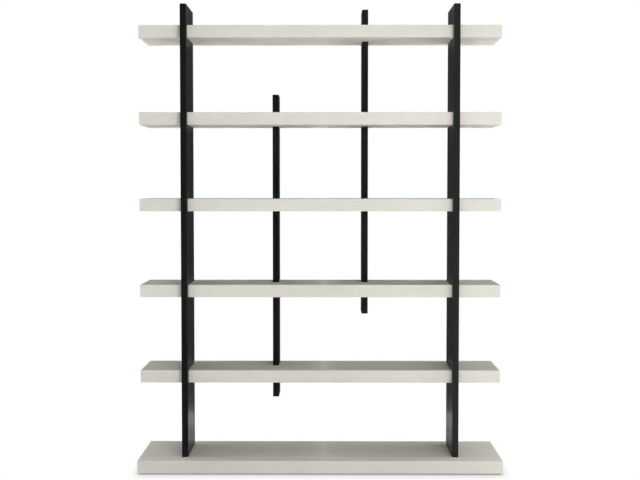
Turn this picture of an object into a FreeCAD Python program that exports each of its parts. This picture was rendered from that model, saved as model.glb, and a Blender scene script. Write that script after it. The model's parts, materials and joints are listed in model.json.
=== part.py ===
import FreeCAD, Part
import math
import os

# An etagere: five upper shelves and a deeper base, held by two full-height front posts and two
# shorter rear posts, all joined by half laps. Lengths are in mm.
# X runs along the shelves, Y from the front to the back and Z up. The origin is on the floor,
# under the middle of the base.

# Driving sizes
unit_length = 1626.0
base_depth = 406.0
shelf_depth = 294.0
shelf_pitch = 388.0
shelf_thickness = 56.0
shelf_count = 5
floor_gap = 6.0

# Posts: broad boards set edge-on, which run past the last shelf they hold
post_thickness = 28.0
post_end_length = 90.0
shelf_overhang = 190.0
front_post_depth = 270.0
front_post_proud = 35.0
rear_post_spacing = 412.0
rear_post_depth = 147.0

# A shelf is two panels on a frame of lippings, blocks and ribs
panel_thickness = 9.0
lipping_width = 20.0
block_width = 90.0
rib_width = 20.0
shelf_edge_radius = 1.5
post_edge_radius = 1.0
edge_limit_share = 0.4
lap_clearance = 0.25

# Bolts that draw the laps tight, with the depth of their seats from the back
lap_bolt_diameter = 6.0
lap_bolt_head_diameter = 10.0
lap_bolt_head_height = 6.0
lap_washer_diameter = 12.0
lap_washer_thickness = 1.6
lap_insert_diameter = 10.0
lap_insert_length = 18.0
front_lap_seat_depth = 76.6
rear_lap_seat_depth = 23.1
plug_length = 8.0
plug_recess = 0.3

# Bolts and dowels in the front posts' feet
foot_bolt_diameter = 8.0
foot_bolt_head_diameter = 13.0
foot_bolt_head_height = 8.0
foot_washer_diameter = 16.0
foot_washer_thickness = 1.6
foot_insert_diameter = 12.0
foot_insert_length = 25.0
foot_seat_depth = 13.6
foot_bolt_shares = (-0.32, 0.32)
dowel_diameter = 10.0
dowel_length = 50.0
foot_dowel_shares = (-0.16, 0.16)

# Levelling feet
leveller_inset = 60.0
stem_diameter = 8.0
stem_length = 38.0
stem_seat = 4.0
leveller_insert_diameter = 12.0
leveller_insert_length = 25.0
pad_diameter = 34.0
pad_chamfer = 1.0

# Clearances and details that all the hardware shares
fit_clearance = 0.05
hole_clearance = 0.25
socket_share = 0.5
socket_depth_share = 0.6
cut_overrun = 5.0

# Positions that follow from the sizes
base_bottom = floor_gap
base_top = base_bottom + shelf_thickness
end_x = unit_length / 2
back_y = base_depth / 2
base_front_y = -base_depth / 2
shelf_front_y = back_y - shelf_depth
front_post_x = end_x - shelf_overhang - post_thickness / 2
front_post_front_y = shelf_front_y - front_post_proud
front_post_rear_y = front_post_front_y + front_post_depth
front_post_middle_y = (front_post_front_y + front_post_rear_y) / 2
front_lap_y = (shelf_front_y + front_post_rear_y) / 2
rear_post_x = rear_post_spacing / 2
rear_post_front_y = back_y - rear_post_depth
rear_lap_y = (rear_post_front_y + back_y) / 2
slot_width = post_thickness + 2 * lap_clearance
post_foot_z = base_top - panel_thickness
post_top_z = base_top + shelf_count * shelf_pitch + post_end_length
leveller_x = (front_post_x + block_width / 2 + end_x - lipping_width) / 2
leveller_y = back_y - leveller_inset
plug_diameter = lap_washer_diameter + 2 * hole_clearance

sides = ("left", "right")
ends = ("front", "rear")


def toward(place):
    """The sign of a place's coordinate: the left and the front are negative."""
    return -1 if place in ("left", "front") else 1


def shelf_top(number):
    """The height of a shelf's top, with shelf 1 at the top of the etagere."""
    return base_top + (shelf_count + 1 - number) * shelf_pitch


def about(middle, width):
    """The limits of a width about its middle."""
    return (middle - width / 2, middle + width / 2)


def block(x_limits, y_limits, z_limits):
    """A box between three pairs of limits."""
    corner = FreeCAD.Vector(x_limits[0], y_limits[0], z_limits[0])
    size = [limits[1] - limits[0] for limits in (x_limits, y_limits, z_limits)]
    return Part.makeBox(size[0], size[1], size[2], corner)


def rod(diameter, x, y_limits, z):
    """A round bar along Y."""
    start = FreeCAD.Vector(x, y_limits[0], z)
    along = FreeCAD.Vector(0, 1, 0)
    return Part.makeCylinder(diameter / 2, y_limits[1] - y_limits[0], start, along)


def upright_rod(diameter, x, y, z_limits):
    """A round bar along Z."""
    return Part.makeCylinder(diameter / 2, z_limits[1] - z_limits[0], FreeCAD.Vector(x, y, z_limits[0]))


def eased(board, radius, wall):
    """A board with every edge eased, by no more than its thinnest wall takes."""
    return board.makeFillet(min(radius, wall * edge_limit_share), board.Edges)


def without(shape, cutters):
    """A shape with all the cutters taken away."""
    for cutter in cutters:
        shape = shape.cut(cutter)
    return shape


def solids_of(shapes):
    """All the solids of a list of shapes."""
    return [solid for shape in shapes for solid in shape.Solids]


def save(node, shapes):
    """Writes a node's solids to its own file."""
    solids = solids_of(shapes)
    shape = solids[0] if len(solids) == 1 else Part.makeCompound(solids)
    shape.exportStep("parts/" + node + ".step")


def bolt(length, diameter, head_diameter, head_height):
    """A socket-head bolt along +Z, with its head's bearing face at the origin."""
    shank = Part.makeCylinder(diameter / 2, length)
    head = Part.makeCylinder(head_diameter / 2, head_height, FreeCAD.Vector(0, 0, -head_height))
    corners = []
    for corner in range(7):
        angle = math.radians(60 * corner)
        reach = head_diameter * socket_share / 2
        corners.append(FreeCAD.Vector(reach * math.cos(angle), reach * math.sin(angle), -head_height))
    socket = Part.Face(Part.makePolygon(corners))
    socket = socket.extrude(FreeCAD.Vector(0, 0, head_height * socket_depth_share))
    return shank.fuse(head).removeSplitter().cut(socket)


def ring(outer_diameter, inner_diameter, length):
    """A washer or an insert along +Z, from the origin."""
    outer = Part.makeCylinder(outer_diameter / 2, length)
    return outer.cut(Part.makeCylinder(inner_diameter / 2, length))


def pointed_forward(shape, x, y, z):
    """A piece of hardware made along +Z, turned to point to the front (-Y) and moved to its place."""
    placed = shape.copy()
    placed.rotate(FreeCAD.Vector(0, 0, 0), FreeCAD.Vector(1, 0, 0), 90)
    placed.translate(FreeCAD.Vector(x, y, z))
    return placed


def moved(shape, x, y, z):
    """A copy of a shape at another place."""
    placed = shape.copy()
    placed.translate(FreeCAD.Vector(x, y, z))
    return placed


def mirrored(places):
    """The places on both sides of the middle."""
    return [toward(side) * place for side in sides for place in places]


def shelves_held(side):
    """The shelves that a rear post holds: the left one leaves out the top shelf, the right one the lowest."""
    numbers = list(range(1, shelf_count + 1))
    return numbers[1:] if side == "left" else numbers[:-1]


def rear_slots(number):
    """The middles, in X, of the slots that rear posts take in a shelf's back edge."""
    return [toward(side) * rear_post_x for side in sides if number in shelves_held(side)]


def front_lap_bolt_places():
    """Where the bolts through the front laps are: one for each front post and shelf."""
    return [
        (x, shelf_top(number) - shelf_thickness / 2)
        for number in range(1, shelf_count + 1)
        for x in mirrored([front_post_x])
    ]


def rear_lap_bolt_places():
    """Where the bolts through the rear laps are: one for each rear post and shelf."""
    return [
        (x, shelf_top(number) - shelf_thickness / 2)
        for number in range(1, shelf_count + 1)
        for x in rear_slots(number)
    ]


def foot_places(shares):
    """Places under the front posts' feet, at shares of the post's depth from its middle."""
    return [
        (x, front_post_middle_y + share * front_post_depth)
        for x in mirrored([front_post_x])
        for share in shares
    ]


def leveller_places():
    """The name and the place of each levelling foot."""
    return {
        end + "_" + side: (toward(side) * leveller_x, toward(end) * leveller_y)
        for end in ends
        for side in sides
    }


def lap_bolt_holes(places, seat_depth, lap_y):
    """Cutters for the bolts through one kind of lap, from the back to past the insert."""
    cutters = []
    for x, z in places:
        cutters.append(rod(plug_diameter, x, (back_y - seat_depth, back_y + cut_overrun), z))
        cutters.append(rod(lap_bolt_diameter + 2 * hole_clearance, x, (lap_y, back_y), z))
        cutters.append(rod(lap_insert_diameter + 2 * fit_clearance, x, (lap_y - lap_insert_length, lap_y), z))
    return cutters


def panel_parts(front_y, bottom_z, slots, block_places, rib_places):
    """The top panel, bottom panel, lippings and core of one hollow shelf, before its holes are bored."""
    whole = block((-end_x, end_x), (front_y, back_y), (bottom_z, bottom_z + shelf_thickness))
    whole = eased(whole, shelf_edge_radius, panel_thickness)
    whole = without(whole, slots)
    core_z = (bottom_z + panel_thickness, bottom_z + shelf_thickness - panel_thickness)
    inner_y = (front_y + lipping_width, back_y - lipping_width)
    length = (-end_x, end_x)
    depth = (front_y, back_y)
    top = whole.common(block(length, depth, (core_z[1], bottom_z + shelf_thickness)))
    bottom = whole.common(block(length, depth, (bottom_z, core_z[0])))
    strips = [
        block(length, (front_y, inner_y[0]), core_z),
        block(length, (inner_y[1], back_y), core_z),
        block((-end_x, lipping_width - end_x), inner_y, core_z),
        block((end_x - lipping_width, end_x), inner_y, core_z),
    ]
    bars = [block(limits, inner_y, core_z) for limits in block_places]
    bars += [block(about(x, rib_width), inner_y, core_z) for x in rib_places]
    return {
        "top_panel": [top],
        "bottom_panel": [bottom],
        "edge_lippings": [whole.common(strip) for strip in strips],
        "core_blocks": [whole.common(bar) for bar in bars],
    }


def save_panel(name, parts, cutters):
    """Bores a shelf's holes and writes its four nodes."""
    for piece, shapes in parts.items():
        save(name + "_" + piece, [without(shape, cutters) for shape in shapes])


def make_shelf(number):
    """One upper shelf, with slots for the front posts and for the rear posts that pass it."""
    bottom_z = shelf_top(number) - shelf_thickness
    slot_z = (bottom_z - cut_overrun, shelf_top(number) + cut_overrun)
    slots = [
        block(about(x, slot_width), (shelf_front_y - cut_overrun, front_lap_y), slot_z)
        for x in mirrored([front_post_x])
    ]
    slots += [
        block(about(x, slot_width), (rear_lap_y, back_y + cut_overrun), slot_z)
        for x in rear_slots(number)
    ]
    block_places = [about(x, block_width) for x in mirrored([front_post_x, rear_post_x])]
    rib_places = [0] + mirrored([(front_post_x + rear_post_x) / 2])
    parts = panel_parts(shelf_front_y, bottom_z, slots, block_places, rib_places)
    middle_z = bottom_z + shelf_thickness / 2
    front_places = [(x, middle_z) for x in mirrored([front_post_x])]
    rear_places = [(x, middle_z) for x in rear_slots(number)]
    cutters = lap_bolt_holes(front_places, front_lap_seat_depth, front_lap_y)
    cutters += lap_bolt_holes(rear_places, rear_lap_seat_depth, rear_lap_y)
    save_panel("shelf_" + str(number), parts, cutters)


def make_base():
    """The base, with housings for the posts' feet and bores for their bolts, the dowels and the levellers."""
    end_block = (front_post_x + block_width / 2, end_x - lipping_width)
    block_places = [about(x, block_width) for x in mirrored([front_post_x])]
    block_places += [end_block, (-end_block[1], -end_block[0])]
    rib_places = [0] + mirrored([front_post_x / 3, front_post_x * 2 / 3])
    parts = panel_parts(base_front_y, base_bottom, [], block_places, rib_places)
    cutters = [
        block(
            about(x, slot_width),
            about(front_post_middle_y, front_post_depth + 2 * lap_clearance),
            (post_foot_z, base_top + cut_overrun),
        )
        for x in mirrored([front_post_x])
    ]
    through = (base_bottom - cut_overrun, post_foot_z)
    for x, y in foot_places(foot_bolt_shares):
        seat_z = base_bottom + foot_seat_depth
        cutters.append(upright_rod(foot_bolt_diameter + 2 * hole_clearance, x, y, through))
        cutters.append(upright_rod(foot_washer_diameter + 2 * hole_clearance, x, y, (through[0], seat_z)))
    for x, y in foot_places(foot_dowel_shares):
        dowel_z = (post_foot_z - dowel_length / 2, post_foot_z)
        cutters.append(upright_rod(dowel_diameter + 2 * fit_clearance, x, y, dowel_z))
    for x, y in leveller_places().values():
        insert_z = (through[0], base_bottom + leveller_insert_length)
        cutters.append(upright_rod(leveller_insert_diameter + 2 * fit_clearance, x, y, insert_z))
        cutters.append(upright_rod(stem_diameter + 2 * hole_clearance, x, y, through))
    save_panel("base", parts, cutters)


def make_front_post(side):
    """A full-height front post, slotted from its rear edge at each shelf and bored at its foot."""
    x = toward(side) * front_post_x
    post = block(
        about(x, post_thickness),
        (front_post_front_y, front_post_rear_y),
        (post_foot_z, post_top_z),
    )
    post = eased(post, post_edge_radius, post_thickness)
    cutters = []
    for number in range(1, shelf_count + 1):
        slot_z = (shelf_top(number) - shelf_thickness, shelf_top(number) + lap_clearance)
        slot_y = (front_lap_y, front_post_rear_y + cut_overrun)
        cutters.append(block(about(x, post_thickness + cut_overrun), slot_y, slot_z))
    places = [place for place in front_lap_bolt_places() if place[0] == x]
    cutters += [
        rod(lap_insert_diameter + 2 * fit_clearance, x, (front_lap_y - lap_insert_length, front_lap_y), z)
        for x, z in places
    ]
    for hole_x, y in foot_places(foot_bolt_shares):
        insert_z = (post_foot_z, post_foot_z + foot_insert_length)
        cutters.append(upright_rod(foot_insert_diameter + 2 * fit_clearance, hole_x, y, insert_z))
    for hole_x, y in foot_places(foot_dowel_shares):
        dowel_z = (post_foot_z, post_foot_z + dowel_length / 2)
        cutters.append(upright_rod(dowel_diameter + 2 * fit_clearance, hole_x, y, dowel_z))
    save("front_post_" + side, [without(post, cutters)])


def make_rear_post(side):
    """A shorter rear post, slotted from its front edge at each shelf it holds and bored from its back."""
    x = toward(side) * rear_post_x
    held = shelves_held(side)
    lowest_z = shelf_top(held[-1]) - shelf_thickness - post_end_length
    highest_z = shelf_top(held[0]) + post_end_length
    post = block(about(x, post_thickness), (rear_post_front_y, back_y), (lowest_z, highest_z))
    post = eased(post, post_edge_radius, post_thickness)
    cutters = []
    for number in held:
        slot_z = (shelf_top(number) - shelf_thickness, shelf_top(number) + lap_clearance)
        slot_y = (rear_post_front_y - cut_overrun, rear_lap_y)
        cutters.append(block(about(x, post_thickness + cut_overrun), slot_y, slot_z))
    places = [place for place in rear_lap_bolt_places() if place[0] == x]
    cutters += lap_bolt_holes(places, rear_lap_seat_depth, rear_lap_y)
    save("rear_post_" + side, [without(post, cutters)])


def make_lap_hardware(kind, places, seat_depth, lap_y):
    """The bolts, washers, inserts and plugs of the front laps or of the rear laps."""
    seat_y = back_y - seat_depth
    bearing_y = seat_y + lap_washer_thickness
    length = bearing_y - (lap_y - lap_insert_length)
    screw = bolt(length, lap_bolt_diameter, lap_bolt_head_diameter, lap_bolt_head_height)
    washer = ring(lap_washer_diameter, lap_bolt_diameter + 2 * fit_clearance, lap_washer_thickness)
    insert = ring(lap_insert_diameter, lap_bolt_diameter + 2 * fit_clearance, lap_insert_length)
    plug = Part.makeCylinder(plug_diameter / 2 - fit_clearance, plug_length)
    plug_y = back_y - plug_recess
    pieces = {
        "bolts": (screw, bearing_y),
        "washers": (washer, bearing_y),
        "inserts": (insert, lap_y),
        "plugs": (plug, plug_y),
    }
    for name, (shape, y) in pieces.items():
        save(kind + "_lap_" + name, [pointed_forward(shape, x, y, z) for x, z in places])


def make_foot_hardware():
    """The bolts, washers, inserts and dowels in the front posts' feet."""
    seat_z = base_bottom + foot_seat_depth
    bearing_z = seat_z - foot_washer_thickness
    length = post_foot_z + foot_insert_length - bearing_z
    screw = bolt(length, foot_bolt_diameter, foot_bolt_head_diameter, foot_bolt_head_height)
    bore = foot_bolt_diameter + 2 * fit_clearance
    washer = ring(foot_washer_diameter, bore, foot_washer_thickness)
    insert = ring(foot_insert_diameter, bore, foot_insert_length)
    dowel = Part.makeCylinder(dowel_diameter / 2, dowel_length)
    save("post_foot_bolts", [moved(screw, x, y, bearing_z) for x, y in foot_places(foot_bolt_shares)])
    save("post_foot_washers", [moved(washer, x, y, bearing_z) for x, y in foot_places(foot_bolt_shares)])
    save("post_foot_inserts", [moved(insert, x, y, post_foot_z) for x, y in foot_places(foot_bolt_shares)])
    dowel_z = post_foot_z - dowel_length / 2
    save("post_foot_dowels", [moved(dowel, x, y, dowel_z) for x, y in foot_places(foot_dowel_shares)])


def make_levellers():
    """The four levelling feet, screwed fully up, and their inserts in the base."""
    bore = stem_diameter + 2 * fit_clearance
    insert = ring(leveller_insert_diameter, bore, leveller_insert_length)
    places = leveller_places()
    save("leveller_inserts", [moved(insert, x, y, base_bottom) for x, y in places.values()])
    stem_foot = floor_gap - stem_seat
    pad = Part.makeCylinder(pad_diameter / 2, floor_gap)
    rims = [edge for edge in pad.Edges if len(edge.Vertexes) == 1 and edge.BoundBox.ZLength < pad_chamfer]
    pad = pad.makeChamfer(min(pad_chamfer, floor_gap * edge_limit_share), rims)
    pad = pad.cut(upright_rod(bore, 0, 0, (stem_foot, floor_gap)))
    stem = Part.makeCylinder(stem_diameter / 2, stem_length, FreeCAD.Vector(0, 0, stem_foot))
    for place, (x, y) in places.items():
        save("leveller_pad_" + place, [moved(pad, x, y, 0)])
        save("leveller_stem_" + place, [moved(stem, x, y, 0)])


os.makedirs("parts", exist_ok=True)
for shelf_number in range(1, shelf_count + 1):
    make_shelf(shelf_number)
make_base()
for post_side in sides:
    make_front_post(post_side)
    make_rear_post(post_side)
make_lap_hardware("front", front_lap_bolt_places(), front_lap_seat_depth, front_lap_y)
make_lap_hardware("rear", rear_lap_bolt_places(), rear_lap_seat_depth, rear_lap_y)
make_foot_hardware()
make_levellers()
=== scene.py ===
"""Looks of the etagere: lacquered shelves on black posts, their fittings, a white studio and the camera."""

import json
import math

import bmesh
import bpy
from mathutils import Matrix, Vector


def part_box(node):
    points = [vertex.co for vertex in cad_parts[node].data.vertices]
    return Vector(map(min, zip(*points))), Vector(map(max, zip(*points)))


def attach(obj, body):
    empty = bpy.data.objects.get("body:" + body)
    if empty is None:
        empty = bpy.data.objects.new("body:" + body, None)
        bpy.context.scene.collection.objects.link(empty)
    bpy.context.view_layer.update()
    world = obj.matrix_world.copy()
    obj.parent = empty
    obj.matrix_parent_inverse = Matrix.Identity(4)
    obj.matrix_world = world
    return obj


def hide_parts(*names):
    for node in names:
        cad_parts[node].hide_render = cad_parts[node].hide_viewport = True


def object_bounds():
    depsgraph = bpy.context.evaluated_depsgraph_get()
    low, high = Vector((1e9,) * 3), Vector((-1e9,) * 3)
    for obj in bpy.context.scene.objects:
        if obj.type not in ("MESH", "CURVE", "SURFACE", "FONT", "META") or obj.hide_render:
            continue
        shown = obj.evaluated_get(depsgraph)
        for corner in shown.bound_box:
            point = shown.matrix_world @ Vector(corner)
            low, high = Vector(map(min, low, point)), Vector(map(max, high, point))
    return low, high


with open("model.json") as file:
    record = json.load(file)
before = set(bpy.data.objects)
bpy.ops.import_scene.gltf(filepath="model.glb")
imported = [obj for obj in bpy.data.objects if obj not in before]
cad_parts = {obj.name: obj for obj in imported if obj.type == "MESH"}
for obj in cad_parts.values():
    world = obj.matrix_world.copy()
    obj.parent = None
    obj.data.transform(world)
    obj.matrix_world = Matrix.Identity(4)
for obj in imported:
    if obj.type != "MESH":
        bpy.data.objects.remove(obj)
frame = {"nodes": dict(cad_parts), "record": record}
cad_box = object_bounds()

# Turned pieces, lengths in metres. A row of counts has the sides, the ribs and the ribs' depth
weld = 0.000001
smooth_below = math.radians(28)
hexagon_sides = 6
plug_counts = (48, 12, 0.0002)
bolt_counts = (96, 24, 0.0002)
insert_counts = (72, 18, 0.0004)
dowel_counts = (120, 20, 0.0003)
pad_counts = (120, 30, 0.0007)

# The feet's threaded stems. The crest's end and the root's start are shares of half a pitch
stem_sides = 24
stem_rows = 185
thread_pitch = 0.00125
thread_depth = 0.00077
thread_chamfer = 0.0012
crest_end_share = 0.10
root_start_share = 0.85

# Bolts and inserts: shares of the head's radius, of the bolt's length and of the insert's radius
lap_shank_share = 0.60
foot_shank_share = 0.615
front_lap_head_share = 0.0478
rear_lap_head_share = 0.0789
foot_head_share = 0.1176
lap_bore_share = 0.610
foot_bore_share = 0.675

# Finishes: the range of most noise, how far edges, faces and end grain face an axis, and how edges are rubbed
noise_low = 0.35
noise_high = 0.65
edge_facing = 0.72
flat_facing = 0.98
end_facing = 0.8
rub_least = 0.1
rub_start = 0.40
rub_end = 0.65
white = (1.0, 1.0, 1.0, 1.0)
black = (0.0, 0.0, 0.0, 1.0)

# Camera, fitted to the edges in the photograph
camera_place = (0.0256, -5.2512, 1.2750)
camera_pitch = math.radians(87.4)
camera_turn = math.radians(0.29)
camera_lens = 64.55
camera_sensor = 36.0

# Studio floor with its soft shadow, and the dome
floor_reach = 40.0
floor_shade = 0.74
floor_shade_curve = 1.2
floor_shade_reach = 0.13
end_shade_reach = 0.045
dome_strength = 0.36

# Studio boards that only reflections show
flat_place = 1.24
flat_height = 2.34
flat_reach = 2.60
flat_gap_left = -0.006
flat_gap_right = 0.034
front_flat_place = -1.6
front_flat_height = 3.2
front_flat_ends = (-3.0, 0.42)
apron_ends = (-1.2, -0.35)
apron_edge = -0.25
# The pale apron on the floor behind the object is painted shadow: reflections see it in place of the object's
# shade on the floor there
floor_shadow_board_ends = (-1.0, 1.0)
floor_shadow_board_edges = (0.21, 0.82)
apron_lift = 0.002

lamp_rows = (
    # name, place, aim, width and height, power in watts, spread in degrees
    ("key_lamp", (1.3, -4.4, 2.6), (0.1, 0.0, 1.05), (2.4, 1.8), 107.0, 180),
    ("left_lamp", (-3.4, 0.2, 1.0), (0.0, 0.0, 1.0), (1.5, 1.8), 26.0, 180),
    ("right_lamp", (3.4, 0.2, 1.0), (0.0, 0.0, 1.0), (1.5, 1.8), 26.0, 180),
    ("high_left_lamp", (-2.9, 0.0, 3.1), (-0.6, 0.0, 0.6), (1.4, 1.4), 19.0, 180),
    ("high_right_lamp", (2.9, 0.0, 3.1), (0.6, 0.0, 0.6), (1.4, 1.4), 16.5, 180),
    ("front_floor_lamp", (0.0, -2.6, 1.3), (0.0, -2.6, 0.0), (4.0, 2.0), 32.5, 80),
    ("back_floor_lamp", (0.0, 2.6, 1.3), (0.0, 2.6, 0.0), (4.0, 2.0), 130.0, 80),
    ("left_floor_lamp", (-2.3, 0.2, 1.3), (-2.3, 0.2, 0.0), (2.0, 3.0), 18.0, 80),
    ("right_floor_lamp", (2.3, 0.2, 1.3), (2.3, 0.2, 0.0), (2.0, 3.0), 38.5, 80),
)


def colour(red, green, blue):
    """A colour written as 0 to 255 in sRGB, as the shader's linear red, green, blue and alpha."""
    linear = []
    for part in (red, green, blue):
        share = part / 255
        if share <= 0.04045:
            linear.append(share / 12.92)
        else:
            linear.append(((share + 0.055) / 1.055) ** 2.4)
    return (*linear, 1.0)


class Nodes:
    """A node tree being built, with the few steps that finishes and turned pieces share."""

    def __init__(self, tree):
        self.tree = tree

    def add(self, kind, **settings):
        """A new node with its settings."""
        node = self.tree.nodes.new(kind)
        for name, value in settings.items():
            setattr(node, name, value)
        return node

    def put(self, socket, value):
        """Links a socket to another node's output, or sets it to a plain value."""
        if isinstance(value, bpy.types.NodeSocket):
            self.tree.links.new(value, socket)
        else:
            socket.default_value = value

    def fill(self, node, **values):
        """Fills a node's inputs, named with _ for a space, and gives its first output."""
        for name, value in values.items():
            self.put(node.inputs[name.replace("_", " ")], value)
        return node.outputs[0]

    def math(self, operation, *values):
        """One step of arithmetic, on one to three values."""
        node = self.add("ShaderNodeMath", operation=operation)
        for socket, value in zip(node.inputs, values):
            self.put(socket, value)
        return node.outputs[0]

    def spread(self, value, low, high, start, end):
        """Carries the run of values from start to end over to the run from low to high."""
        node = self.add("ShaderNodeMapRange")
        return self.fill(node, Value=value, From_Min=start, From_Max=end, To_Min=low, To_Max=high)


class Finish(Nodes):
    """A material on Object coordinates."""

    def __init__(self, name):
        self.material = bpy.data.materials.new(name)
        self.material.use_nodes = True
        super().__init__(self.material.node_tree)
        self.shader = self.tree.nodes["Principled BSDF"]
        self.place = self.add("ShaderNodeTexCoord")

    def set(self, **values):
        """Sets the shader's own sockets."""
        self.fill(self.shader, **values)

    def noise(self, along, detail=2.0, roughness=0.5, distortion=0.0):
        """Noise with so many features to the metre along each of the three axes."""
        stretch = self.add("ShaderNodeMapping")
        spot = self.fill(stretch, Vector=self.place.outputs["Object"], Scale=along)
        node = self.add("ShaderNodeTexNoise")
        self.fill(node, Vector=spot, Scale=1.0, Detail=detail)
        return self.fill(node, Roughness=roughness, Distortion=distortion)

    def weighed(self, *patterns):
        """The sum of patterns, each given with its weight."""
        total = 0.0
        for pattern, weight in patterns:
            total = self.math("MULTIPLY_ADD", pattern, weight, total)
        return total

    def tint(self, value, *stops):
        """A colour for each value, from stops of value and colour."""
        node = self.add("ShaderNodeValToRGB")
        while len(node.color_ramp.elements) < len(stops):
            node.color_ramp.elements.new(1.0)
        for element, (position, shade) in zip(node.color_ramp.elements, stops):
            element.position = position
            element.color = shade
        return self.fill(node, Fac=value)

    def over(self, under, upper, share):
        """One colour laid over another, by a share."""
        node = self.add("ShaderNodeMix", data_type="RGBA")
        # This node's sockets share their names, so the ones for colours are taken by number
        self.put(node.inputs[0], share)
        self.put(node.inputs[6], under)
        self.put(node.inputs[7], upper)
        return node.outputs[2]

    def rough(self, pattern, low, high):
        """A roughness that goes from low to high with a noise."""
        return self.spread(pattern, low, high, start=noise_low, end=noise_high)

    def facing(self):
        """How far the surface faces along each axis, from nought to one."""
        split = self.add("ShaderNodeSeparateXYZ")
        self.put(split.inputs[0], self.place.outputs["Normal"])
        return [self.math("ABSOLUTE", side) for side in split.outputs]

    def rubbed(self, pattern, most):
        """The share by which the eased edges are rubbed, unevenly by a noise. Flat faces have none."""
        along_x, along_y, along_z = self.facing()
        nearest = self.math("MAXIMUM", self.math("MAXIMUM", along_x, along_y), along_z)
        edge = self.spread(nearest, 1.0, 0.0, start=edge_facing, end=flat_facing)
        uneven = self.spread(pattern, rub_least, most, start=rub_start, end=rub_end)
        return self.math("MULTIPLY", edge, uneven)

    def relief(self, *layers):
        """Bump from pairs of a pattern and its height in metres."""
        normal = None
        for pattern, height in layers:
            node = self.add("ShaderNodeBump")
            self.fill(node, Distance=height, Height=pattern)
            if normal is not None:
                self.fill(node, Normal=normal)
            normal = node.outputs["Normal"]
        self.set(Normal=normal)


def shelf_lacquer():
    """Pale warm grey lacquer, sprayed satin over a close-grained panel."""
    finish = Finish("shelf_lacquer")
    drift = finish.noise(along=(1.3, 2.0, 1.7))
    mottle = finish.noise(along=(24, 24, 24), detail=3)
    grain = finish.noise(along=(5, 240, 240), detail=4, roughness=0.6, distortion=0.3)
    lines = finish.spread(finish.noise(along=(7, 900, 900)), 0.0, 1.0, start=0.58, end=0.74)
    peel = finish.noise(along=(520, 520, 520), detail=1)
    shade = finish.tint(
        finish.weighed((drift, 0.45), (mottle, 0.25), (grain, 0.3)),
        (0.36, colour(208, 206, 196)),
        (0.50, colour(213, 211, 201)),
        (0.64, colour(216, 215, 208)),
    )
    shade = finish.over(shade, colour(198, 195, 184), finish.math("MULTIPLY", lines, 0.35))
    finish.set(
        Base_Color=finish.over(shade, colour(224, 222, 214), finish.rubbed(mottle, most=0.6)),
        Roughness=finish.rough(finish.weighed((mottle, 0.7), (grain, 0.3)), 0.36, 0.46),
        Specular_IOR_Level=0.3,
        Coat_Weight=0.14,
        Coat_Roughness=0.07,
    )
    finish.relief((grain, 0.00006), (lines, -0.00004), (peel, 0.00003))
    return finish.material


def post_stain():
    """Near-black satin stain over open-grained timber that runs up the post."""
    finish = Finish("post_stain")
    figure = finish.noise(along=(28, 28, 1.6), detail=3, distortion=0.6)
    pores = finish.noise(along=(900, 900, 22), detail=2)
    ends = finish.noise(along=(420, 420, 420), detail=3)
    end_grain = finish.math("GREATER_THAN", finish.facing()[2], end_facing)
    open_pores = finish.spread(pores, 0.0, 1.0, start=0.56, end=0.70)
    timber = finish.tint(
        finish.weighed((figure, 0.7), (pores, 0.3)),
        (0.34, colour(16, 15, 15)),
        (0.50, colour(22, 21, 21)),
        (0.66, colour(29, 27, 26)),
    )
    timber = finish.over(timber, colour(9, 9, 9), open_pores)
    cut_timber = finish.tint(ends, (0.4, colour(10, 10, 10)), (0.6, colour(24, 22, 21)))
    timber = finish.over(timber, cut_timber, end_grain)
    finish.set(
        Base_Color=finish.over(timber, colour(46, 41, 38), finish.rubbed(figure, most=0.7)),
        Roughness=finish.rough(finish.weighed((figure, 0.5), (pores, 0.5)), 0.34, 0.48),
        Specular_IOR_Level=0.19,
        Coat_Weight=0.075,
        Coat_Roughness=0.08,
    )
    finish.relief((open_pores, -0.00005), (figure, 0.00005))
    return finish.material


def core_timber():
    """Raw sawn poplar inside the shelves."""
    finish = Finish("core_timber")
    figure = finish.noise(along=(60, 5, 60), detail=4, distortion=0.8)
    saw = finish.noise(along=(30, 420, 30), detail=1)
    shade = finish.tint(
        finish.weighed((figure, 0.75), (saw, 0.25)),
        (0.35, colour(168, 138, 92)),
        (0.52, colour(190, 163, 117)),
        (0.68, colour(206, 184, 142)),
    )
    finish.set(Base_Color=shade, Roughness=finish.rough(figure, 0.62, 0.8))
    finish.relief((saw, 0.0002), (figure, 0.0001))
    return finish.material


def dowel_beech():
    """Raw beech with its short dark flecks, grain up the dowel."""
    finish = Finish("dowel_beech")
    figure = finish.noise(along=(260, 260, 12), detail=3)
    flecks = finish.noise(along=(900, 900, 160), detail=1)
    shade = finish.tint(figure, (0.36, colour(196, 160, 118)), (0.64, colour(214, 182, 140)))
    dark = finish.spread(flecks, 0.0, 0.7, start=0.6, end=0.7)
    finish.set(
        Base_Color=finish.over(shade, colour(150, 108, 70), dark),
        Roughness=finish.rough(figure, 0.5, 0.68),
    )
    finish.relief((figure, 0.0001))
    return finish.material


def zinc_plate():
    """Bright zinc plate on steel, faintly clouded."""
    finish = Finish("zinc_plate")
    cloud = finish.noise(along=(170, 170, 170), detail=3)
    scratch = finish.noise(along=(2600, 2600, 300), detail=2)
    shade = finish.tint(
        cloud,
        (0.35, colour(186, 190, 196)),
        (0.50, colour(202, 204, 206)),
        (0.65, colour(210, 207, 196)),
    )
    finish.set(
        Base_Color=shade,
        Metallic=1.0,
        Roughness=finish.rough(finish.weighed((cloud, 0.6), (scratch, 0.4)), 0.24, 0.42),
    )
    finish.relief((scratch, 0.00001))
    return finish.material


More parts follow.
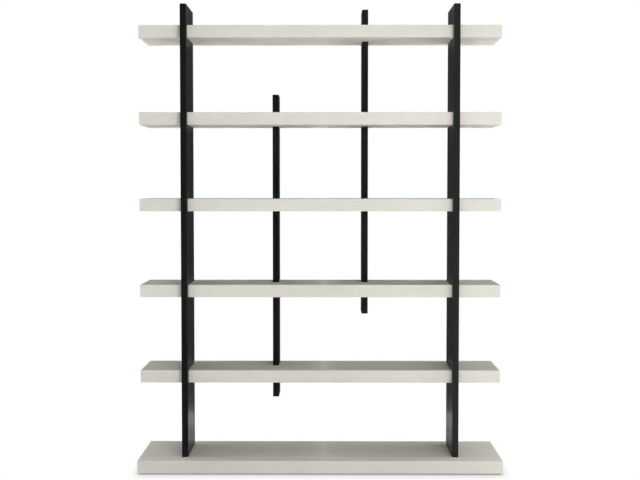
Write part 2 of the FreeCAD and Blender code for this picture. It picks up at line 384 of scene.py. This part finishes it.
def insert_brass():
    """Turned brass with fine tool marks and a little tarnish."""
    finish = Finish("insert_brass")
    tarnish = finish.noise(along=(220, 220, 220), detail=3)
    turning = finish.noise(along=(60, 4200, 4200), detail=1)
    shade = finish.tint(
        tarnish,
        (0.36, colour(178, 138, 70)),
        (0.50, colour(206, 166, 92)),
        (0.64, colour(218, 182, 110)),
    )
    finish.set(
        Base_Color=shade,
        Metallic=1.0,
        Roughness=finish.rough(finish.weighed((tarnish, 0.5), (turning, 0.5)), 0.22, 0.4),
    )
    finish.relief((turning, 0.00001))
    return finish.material


def moulded(name, dark, light, rough_from, rough_to):
    """Moulded plastic with a fine spark texture and flow marks."""
    finish = Finish(name)
    flow = finish.noise(along=(140, 140, 140), detail=2, distortion=0.5)
    spark = finish.noise(along=(3200, 3200, 3200), detail=1)
    finish.set(
        Base_Color=finish.tint(finish.weighed((flow, 0.8), (spark, 0.2)), (0.38, dark), (0.62, light)),
        Roughness=finish.rough(finish.weighed((flow, 0.5), (spark, 0.5)), rough_from, rough_to),
    )
    finish.relief((spark, 0.00002))
    return finish.material


# The finish of each material slot in the record
finishes = {
    "shelf_lacquer": shelf_lacquer(),
    "post_black": post_stain(),
    "raw_core": core_timber(),
    "beech": dowel_beech(),
    "zinc_steel": zinc_plate(),
    "insert_brass": insert_brass(),
    "shelf_plug": moulded("shelf_plug", colour(206, 205, 196), colour(213, 212, 204), 0.42, 0.56),
    "post_plug": moulded("post_plug", colour(18, 18, 18), colour(27, 26, 26), 0.40, 0.55),
    "foot_nylon": moulded("foot_nylon", colour(24, 24, 25), colour(36, 36, 37), 0.48, 0.62),
}


def dress():
    """Gives every CAD node the finish of its slot in the record."""
    for row in frame["record"]["subparts"]:
        for slot in frame["nodes"][row["node"]].material_slots:
            slot.material = finishes[row["material_slot"]]


class Turning(Nodes):
    """A Geometry Nodes tree that sets one turned piece on each point it is given, with named sizes."""

    def __init__(self, name, *sizes):
        super().__init__(bpy.data.node_groups.new(name, "GeometryNodeTree"))
        sockets = self.tree.interface
        sockets.new_socket("Places", in_out="INPUT", socket_type="NodeSocketGeometry")
        for size in sizes:
            sockets.new_socket(size, in_out="INPUT", socket_type="NodeSocketFloat")
        sockets.new_socket("Turn", in_out="INPUT", socket_type="NodeSocketVector")
        sockets.new_socket("Finish", in_out="INPUT", socket_type="NodeSocketMaterial")
        sockets.new_socket("Pieces", in_out="OUTPUT", socket_type="NodeSocketGeometry")
        self.given = self.add("NodeGroupInput").outputs

    def wrapped(self, rows):
        """A grid, with the row that each of its points is in and the point's angle round the axis."""
        columns = self.math("ADD", self.given["Sides"], 1.0)
        grid = self.fill(self.add("GeometryNodeMeshGrid"), Vertices_X=rows, Vertices_Y=columns)
        index = self.add("GeometryNodeInputIndex").outputs[0]
        row = self.math("FLOOR", self.math("DIVIDE", self.math("ADD", index, 0.5), columns))
        column = self.math("SUBTRACT", index, self.math("MULTIPLY", row, columns))
        angle = self.math("MULTIPLY", self.math("DIVIDE", column, self.given["Sides"]), math.tau)
        return grid, row, angle

    def by_row(self, row, values):
        """The value that a table gives for each row."""
        switch = self.add("GeometryNodeIndexSwitch", data_type="FLOAT")
        while len(switch.index_switch_items) < len(values):
            switch.index_switch_items.new()
        self.put(switch.inputs["Index"], row)
        for socket, value in zip(list(switch.inputs)[1:], values):
            self.put(socket, value)
        return switch.outputs[0]

    def set_on_places(self, grid, radius, height, angle):
        """Wraps the grid round its axis, welds it, and sets a copy on every place."""
        across = self.math("MULTIPLY", radius, self.math("COSINE", angle))
        along = self.math("MULTIPLY", radius, self.math("SINE", angle))
        spot = self.fill(self.add("ShaderNodeCombineXYZ"), X=across, Y=along, Z=height)
        wrapped = self.fill(self.add("GeometryNodeSetPosition"), Geometry=grid, Position=spot)
        closed = self.fill(self.add("GeometryNodeMergeByDistance"), Geometry=wrapped, Distance=weld)
        bend = self.add("GeometryNodeInputMeshEdgeAngle").outputs["Unsigned Angle"]
        soft = self.math("LESS_THAN", bend, smooth_below)
        shading = self.add("GeometryNodeSetShadeSmooth", domain="EDGE")
        piece = self.fill(shading, Geometry=closed, Shade_Smooth=soft)
        turn = self.fill(self.add("FunctionNodeEulerToRotation"), Euler=self.given["Turn"])
        copier = self.add("GeometryNodeInstanceOnPoints")
        copies = self.fill(copier, Points=self.given["Places"], Instance=piece, Rotation=turn)
        real = self.fill(self.add("GeometryNodeRealizeInstances"), Geometry=copies)
        coat = self.add("GeometryNodeSetMaterial")
        coated = self.fill(coat, Geometry=real, Material=self.given["Finish"])
        self.put(self.add("NodeGroupOutput").inputs[0], coated)
        return self.tree


def turned_tree(name, profile):
    """Turns a profile round its axis. Each row of it gives the shares of the radius, of the length, of the
    rib depth and of a hexagon, from the middle of the far end round to the middle of the near end."""
    tree = Turning(name, "Radius", "Length", "Sides", "Ribs", "Rib Depth")
    grid, row, angle = tree.wrapped(len(profile))
    columns = [tree.by_row(row, values) for values in zip(*profile)]
    radius_share, height_share, rib_share, hex_share = columns
    # A hexagon's radius at each angle, as a share of the radius at its corners
    side = math.tau / hexagon_sides
    fold = tree.math("FRACT", tree.math("DIVIDE", angle, side))
    fold = tree.math("MULTIPLY", tree.math("SUBTRACT", fold, 0.5), side)
    flat = tree.math("DIVIDE", math.cos(side / 2), tree.math("COSINE", fold))
    hexed = tree.math("MULTIPLY_ADD", hex_share, tree.math("SUBTRACT", flat, 1.0), 1.0)
    radius = tree.math("MULTIPLY", tree.math("MULTIPLY", tree.given["Radius"], radius_share), hexed)
    wave = tree.math("COSINE", tree.math("MULTIPLY", angle, tree.given["Ribs"]))
    groove = tree.math("MULTIPLY", tree.math("MULTIPLY_ADD", wave, -0.5, 0.5), tree.given["Rib Depth"])
    radius = tree.math("SUBTRACT", radius, tree.math("MULTIPLY", groove, rib_share))
    height = tree.math("MULTIPLY", tree.given["Length"], height_share)
    return tree.set_on_places(grid, radius, height, angle)


def threaded_tree(name, rows):
    """A rod with a real thread: its radius falls and rises once in each pitch, all the way round. The first
    and the last row close the ends."""
    tree = Turning(name, "Radius", "Length", "Sides", "Pitch", "Thread Depth", "Chamfer")
    grid, row, angle = tree.wrapped(rows)
    # The rod itself has two rows fewer, and one step fewer than it has rows
    last = rows - 3
    step = tree.math("MAXIMUM", tree.math("SUBTRACT", last + 1.0, row), 0.0)
    step = tree.math("MINIMUM", step, last)
    height = tree.math("MULTIPLY", tree.math("DIVIDE", step, last), tree.given["Length"])
    pitches = tree.math("DIVIDE", height, tree.given["Pitch"])
    turns = tree.math("SUBTRACT", pitches, tree.math("DIVIDE", angle, math.tau))
    flank = tree.math("ABSOLUTE", tree.math("MULTIPLY_ADD", tree.math("FRACT", turns), 2.0, -1.0))
    flank = tree.spread(flank, 0.0, 1.0, start=crest_end_share, end=root_start_share)
    cut = tree.math("MULTIPLY", flank, tree.given["Thread Depth"])
    thread = tree.math("SUBTRACT", tree.given["Radius"], cut)
    end_gap = tree.math("MINIMUM", height, tree.math("SUBTRACT", tree.given["Length"], height))
    chamfered = tree.math("ADD", tree.math("SUBTRACT", tree.given["Radius"], tree.given["Chamfer"]), end_gap)
    after_first = tree.math("GREATER_THAN", row, 0.5)
    before_last = tree.math("LESS_THAN", row, rows - 1.5)
    inside = tree.math("MULTIPLY", after_first, before_last)
    radius = tree.math("MULTIPLY", tree.math("MINIMUM", thread, chamfered), inside)
    return tree.set_on_places(grid, radius, height, angle)


# Profiles of the turned pieces: shares of radius, length, rib depth and hexagon
plug_shares = (
    (0.00, 0.925, 0, 0),
    (0.30, 0.930, 0, 0),
    (0.56, 0.945, 0, 0),
    (0.72, 0.975, 0, 0),
    (0.80, 1.000, 0, 0),
    (0.93, 1.000, 0, 0),
    (0.98, 0.985, 0, 0),
    (1.00, 0.950, 0, 0),
    (1.00, 0.840, 0, 0),
    (0.99, 0.800, 1, 0),
    (0.97, 0.200, 1, 0),
    (0.86, 0.060, 0, 0),
    (0.78, 0.000, 0, 0),
    (0.00, 0.000, 0, 0),
)
pad_shares = (
    (0.000, 0.334, 0, 0),
    (0.236, 0.334, 0, 0),
    (0.236, 0.970, 0, 0),
    (0.250, 1.000, 0, 0),
    (0.470, 1.000, 0, 0),
    (0.510, 0.960, 0, 0),
    (0.860, 0.900, 0, 0),
    (0.950, 0.860, 0.3, 0),
    (0.990, 0.760, 1, 0),
    (1.000, 0.600, 1, 0),
    (1.000, 0.300, 1, 0),
    (0.985, 0.160, 0.6, 0),
    (0.960, 0.060, 0, 0),
    (0.935, 0.000, 0, 0),
    (0.000, 0.000, 0, 0),
)
dowel_shares = (
    (0.00, 1.000, 0, 0),
    (0.80, 1.000, 0, 0),
    (0.96, 0.970, 0, 0),
    (1.00, 0.950, 1, 0),
    (1.00, 0.050, 1, 0),
    (0.96, 0.030, 0, 0),
    (0.80, 0.000, 0, 0),
    (0.00, 0.000, 0, 0),
)


def bolt_shares(shank, head):
    """A socket-head bolt's profile, for its shank's share of the head's radius and its head's share of the
    length."""
    return (
        (0.000, 1.000, 0, 0),
        (shank - 0.115, 1.000, 0, 0),
        (shank, 0.985, 0, 0),
        (shank, head * 1.02, 0, 0),
        (0.960, head, 0, 0),
        (1.000, head * 0.90, 1, 0),
        (1.000, head * 0.15, 1, 0),
        (0.960, head * 0.03, 0, 0),
        (0.900, 0.000, 0, 0),
        (0.590, 0.000, 0, 0),
        (0.533, head * 0.07, 0, 1),
        (0.533, head * 0.50, 0, 1),
        (0.000, head * 0.60, 0, 0),
    )


def insert_shares(bore):
    """A ribbed insert's profile, with a groove round its middle, for its bore's share of its radius."""
    return (
        (bore, 0.97, 0, 0),
        (bore + 0.05, 1.00, 0, 0),
        (0.90, 1.00, 0, 0),
        (0.97, 0.97, 0, 0),
        (1.00, 0.94, 1, 0),
        (1.00, 0.56, 1, 0),
        (0.92, 0.53, 0, 0),
        (0.92, 0.47, 0, 0),
        (1.00, 0.44, 1, 0),
        (1.00, 0.06, 1, 0),
        (0.97, 0.03, 0, 0),
        (0.90, 0.00, 0, 0),
        (bore + 0.05, 0.00, 0, 0),
        (bore, 0.03, 0, 0),
        (bore, 0.97, 0, 0),
    )


front_bolt_shares = bolt_shares(lap_shank_share, front_lap_head_share)
rear_bolt_shares = bolt_shares(lap_shank_share, rear_lap_head_share)
foot_bolt_shares = bolt_shares(foot_shank_share, foot_head_share)
lap_insert_shares = insert_shares(lap_bore_share)
foot_insert_shares = insert_shares(foot_bore_share)

# Ways a turned piece points: the axis it lies along, the corner its near end is at, and its turn
ways = {
    "up": (2, 0, (0.0, 0.0, 0.0)),
    "back": (1, 0, (-math.pi / 2, 0.0, 0.0)),
    "front": (1, 1, (math.pi / 2, 0.0, 0.0)),
}
turned_rows = (
    # name, the node it stands for, slot, way it points, profile, and sides, ribs and rib depth
    ("shelf_cover_plugs", "front_lap_plugs", "shelf_plug", "back", plug_shares, plug_counts),
    ("post_cover_plugs", "rear_lap_plugs", "post_plug", "back", plug_shares, plug_counts),
    ("front_shelf_bolts", "front_lap_bolts", "zinc_steel", "front", front_bolt_shares, bolt_counts),
    ("rear_shelf_bolts", "rear_lap_bolts", "zinc_steel", "front", rear_bolt_shares, bolt_counts),
    ("foot_bolts", "post_foot_bolts", "zinc_steel", "up", foot_bolt_shares, bolt_counts),
    ("front_ribbed_inserts", "front_lap_inserts", "insert_brass", "back", lap_insert_shares, insert_counts),
    ("rear_ribbed_inserts", "rear_lap_inserts", "insert_brass", "back", lap_insert_shares, insert_counts),
    ("foot_ribbed_inserts", "post_foot_inserts", "insert_brass", "up", foot_insert_shares, insert_counts),
    ("fluted_dowels", "post_foot_dowels", "beech", "up", dowel_shares, dowel_counts),
)


def solids_in(node):
    """The lowest and highest corner of each separate solid in a CAD node."""
    shape = bmesh.new()
    shape.from_mesh(frame["nodes"][node].data)
    bmesh.ops.remove_doubles(shape, verts=shape.verts, dist=weld)
    met = set()
    boxes = []
    for first in shape.verts:
        if first in met:
            continue
        met.add(first)
        waiting = [first]
        corners = []
        while waiting:
            point = waiting.pop()
            corners.append(point.co.copy())
            for edge in point.link_edges:
                other = edge.other_vert(point)
                if other not in met:
                    met.add(other)
                    waiting.append(other)
        low = Vector([min(corner[axis] for corner in corners) for axis in range(3)])
        high = Vector([max(corner[axis] for corner in corners) for axis in range(3)])
        boxes.append((low, high))
    shape.free()
    return boxes


def ribbed(counts):
    """The sizes that a row of counts gives a turned tree."""
    sides, ribs, rib_depth = counts
    return {"sides": float(sides), "ribs": float(ribs), "rib_depth": rib_depth}


def set_pieces(name, tree, boxes, way, body, slot, node, **sizes):
    """Sets a tree's piece in each box, keeps it as a plain mesh, and lets it stand for its CAD node."""
    axis, near_corner, turn = ways[way]
    places = []
    for corners in boxes:
        place = (corners[0] + corners[1]) / 2
        place[axis] = corners[near_corner][axis]
        places.append(place)
    low, high = boxes[0]
    sizes["radius"] = (high.x - low.x) / 2
    sizes["length"] = high[axis] - low[axis]
    sizes["turn"] = turn
    sizes["finish"] = finishes[slot]
    points = bpy.data.meshes.new(name)
    points.from_pydata(places, [], [])
    piece = bpy.data.objects.new(name, points)
    bpy.context.scene.collection.objects.link(piece)
    modifier = piece.modifiers.new(tree.name, "NODES")
    modifier.node_group = tree
    for socket in tree.interface.items_tree:
        value = sizes.get(socket.name.replace(" ", "_").lower())
        if socket.in_out == "INPUT" and value is not None:
            modifier[socket.identifier] = value
    ready = piece.evaluated_get(bpy.context.evaluated_depsgraph_get())
    piece.data = bpy.data.meshes.new_from_object(ready)
    piece.modifiers.clear()
    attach(piece, body)
    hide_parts(node)


def turned_pieces(name, node, slot, way, shares, counts):
    """Turned pieces that stand for all the solids of a node, each in its own solid's place."""
    tree = turned_tree(name, shares)
    set_pieces(name, tree, solids_in(node), way, "etagere", slot, node, **ribbed(counts))


def levelling_feet():
    """A finger-ribbed pad on a threaded stem at each corner of the base."""
    stem_sizes = {
        "sides": float(stem_sides),
        "pitch": thread_pitch,
        "thread_depth": thread_depth,
        "chamfer": thread_chamfer,
    }
    rows = (
        ("pad_", turned_tree("levelling_pads", pad_shares), "foot_nylon", ribbed(pad_counts)),
        ("stem_", threaded_tree("levelling_stems", stem_rows), "zinc_steel", stem_sizes),
    )
    for corner in ("front_left", "front_right", "rear_left", "rear_right"):
        for kind, tree, slot, sizes in rows:
            name = "levelling_" + kind + corner
            node = "leveller_" + kind + corner
            set_pieces(name, tree, [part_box(node)], "up", "leveller_" + corner, slot, node, **sizes)


def seen_share(nodes):
    """One for camera, glossy and transmission rays, which see the background, and nought for the others."""
    path = nodes.add("ShaderNodeLightPath").outputs
    seen = nodes.math("MAXIMUM", path["Is Camera Ray"], path["Is Glossy Ray"])
    return nodes.math("MAXIMUM", seen, path["Is Transmission Ray"])


def board(name, corners):
    """A flat four-cornered stage board."""
    mesh = bpy.data.meshes.new(name)
    mesh.from_pydata(corners, [], [(0, 1, 2, 3)])
    piece = bpy.data.objects.new(name, mesh)
    bpy.context.scene.collection.objects.link(piece)
    return piece


def white_floor():
    """A white floor. Where it is seen or mirrored it is as white as the background, less the object's soft
    shadow."""
    reach = floor_reach
    corners = [(-reach, -reach, 0), (reach, -reach, 0), (reach, reach, 0), (-reach, reach, 0)]
    floor = board("studio_floor", corners)
    finish = Finish("studio_floor")
    seen = seen_share(finish)
    open_sky = finish.add("ShaderNodeAmbientOcclusion")
    finish.fill(open_sky, Distance=floor_shade_reach)
    covered = finish.math("SUBTRACT", 1.0, open_sky.outputs["AO"])
    along = finish.add("ShaderNodeSeparateXYZ")
    finish.put(along.inputs[0], finish.place.outputs["Object"])
    base_end = cad_box[1][0]
    from_middle = finish.math("ABSOLUTE", along.outputs["X"])
    depth = finish.spread(from_middle, floor_shade, 0.0, start=base_end, end=base_end + end_shade_reach)
    shadow = finish.math("MULTIPLY", finish.math("POWER", covered, floor_shade_curve), depth)
    lit = finish.math("SUBTRACT", 1.0, shadow)
    paint = finish.tint(
        finish.noise(along=(6, 6, 6)),
        (0.3, colour(240, 240, 240)),
        (0.7, colour(244, 244, 244)),
    )
    finish.set(
        Base_Color=finish.over(paint, black, seen),
        Roughness=0.9,
        Specular_IOR_Level=0.0,
        Emission_Color=white,
        Emission_Strength=finish.math("MULTIPLY", seen, lit),
    )
    floor.data.materials.append(finish.material)


def flat_paint(name, dark, light):
    """Matt paint of the studio's boards, slightly uneven."""
    finish = Finish(name)
    finish.set(
        Base_Color=finish.tint(finish.noise(along=(9, 9, 9)), (0.3, dark), (0.7, light)),
        Roughness=1.0,
        Specular_IOR_Level=0.0,
    )
    return finish.material


def studio_flats():
    """Boards that only the sheen shows: two dark ones behind the object with a gap between them, a dark one
    in front of it, a dark apron on the floor before it, and a pale apron behind it, which is painted shadow
    of the object on the floor there."""
    dark = flat_paint("studio_flats", colour(76, 76, 80), colour(86, 86, 90))
    # Paint of the pale apron, a painted shadow that only reflections see, in place of the object's shade on
    # the floor behind it
    floor_shadow_paint = flat_paint("studio_rear_apron", colour(220, 220, 224), colour(228, 228, 232))
    for name, paint, (left, right), (foot, head), height in (
        # name, paint, its ends, where its lower and its upper edge stand, height of the upper edge
        ("left", dark, (-flat_reach, flat_gap_left), (flat_place, flat_place), flat_height),
        ("right", dark, (flat_gap_right, flat_reach), (flat_place, flat_place), flat_height),
        ("front", dark, front_flat_ends, (front_flat_place, front_flat_place), front_flat_height),
        ("apron", dark, apron_ends, (front_flat_place, apron_edge), apron_lift),
        # Painted shadow: a pale board on the floor behind the object, seen only in reflections, which darkens
        # the mirrored floor near the base
        ("rear_apron", floor_shadow_paint, floor_shadow_board_ends, floor_shadow_board_edges, apron_lift),
    ):
        corners = [(left, foot, 0), (right, foot, 0), (right, head, height), (left, head, height)]
        flat = board("studio_flat_" + name, corners)
        flat.data.materials.append(paint)
        flat.visible_camera = False
        flat.visible_diffuse = False
        flat.visible_shadow = False
        flat.visible_transmission = False


def lamp(name, place, aim, size, power, spread):
    """A soft box of a given size, aimed at a point. Neither the camera nor the sheen sees the box itself."""
    light = bpy.data.lights.new(name, "AREA")
    light.shape = "RECTANGLE"
    light.size, light.size_y = size
    light.energy = power
    light.spread = math.radians(spread)
    box = bpy.data.objects.new(name, light)
    box.location = place
    box.rotation_euler = (Vector(aim) - Vector(place)).to_track_quat("-Z", "Y").to_euler()
    box.visible_camera = False
    box.visible_glossy = False
    bpy.context.scene.collection.objects.link(box)


def white_world():
    """White where it is seen or mirrored, and a softer even dome for the light that falls on the object."""
    world = bpy.data.worlds.new("studio")
    world.use_nodes = True
    nodes = Nodes(world.node_tree)
    strength = nodes.spread(seen_share(nodes), dome_strength, 1.0, start=0.0, end=1.0)
    nodes.fill(world.node_tree.nodes["Background"], Color=white, Strength=strength)
    bpy.context.scene.world = world


def camera():
    """The camera that took the photograph, as far as the object's edges tell."""
    lens = bpy.data.cameras.new("camera")
    lens.sensor_width = camera_sensor
    lens.lens = camera_lens
    stand = bpy.data.objects.new("camera", lens)
    stand.location = camera_place
    stand.rotation_euler = (camera_pitch, 0.0, camera_turn)
    bpy.context.scene.collection.objects.link(stand)
    bpy.context.scene.camera = stand


dress()
for row in turned_rows:
    turned_pieces(*row)
levelling_feet()

white_world()
white_floor()
studio_flats()
for row in lamp_rows:
    lamp(*row)
camera()
bpy.context.scene.view_settings.view_transform = "Standard"
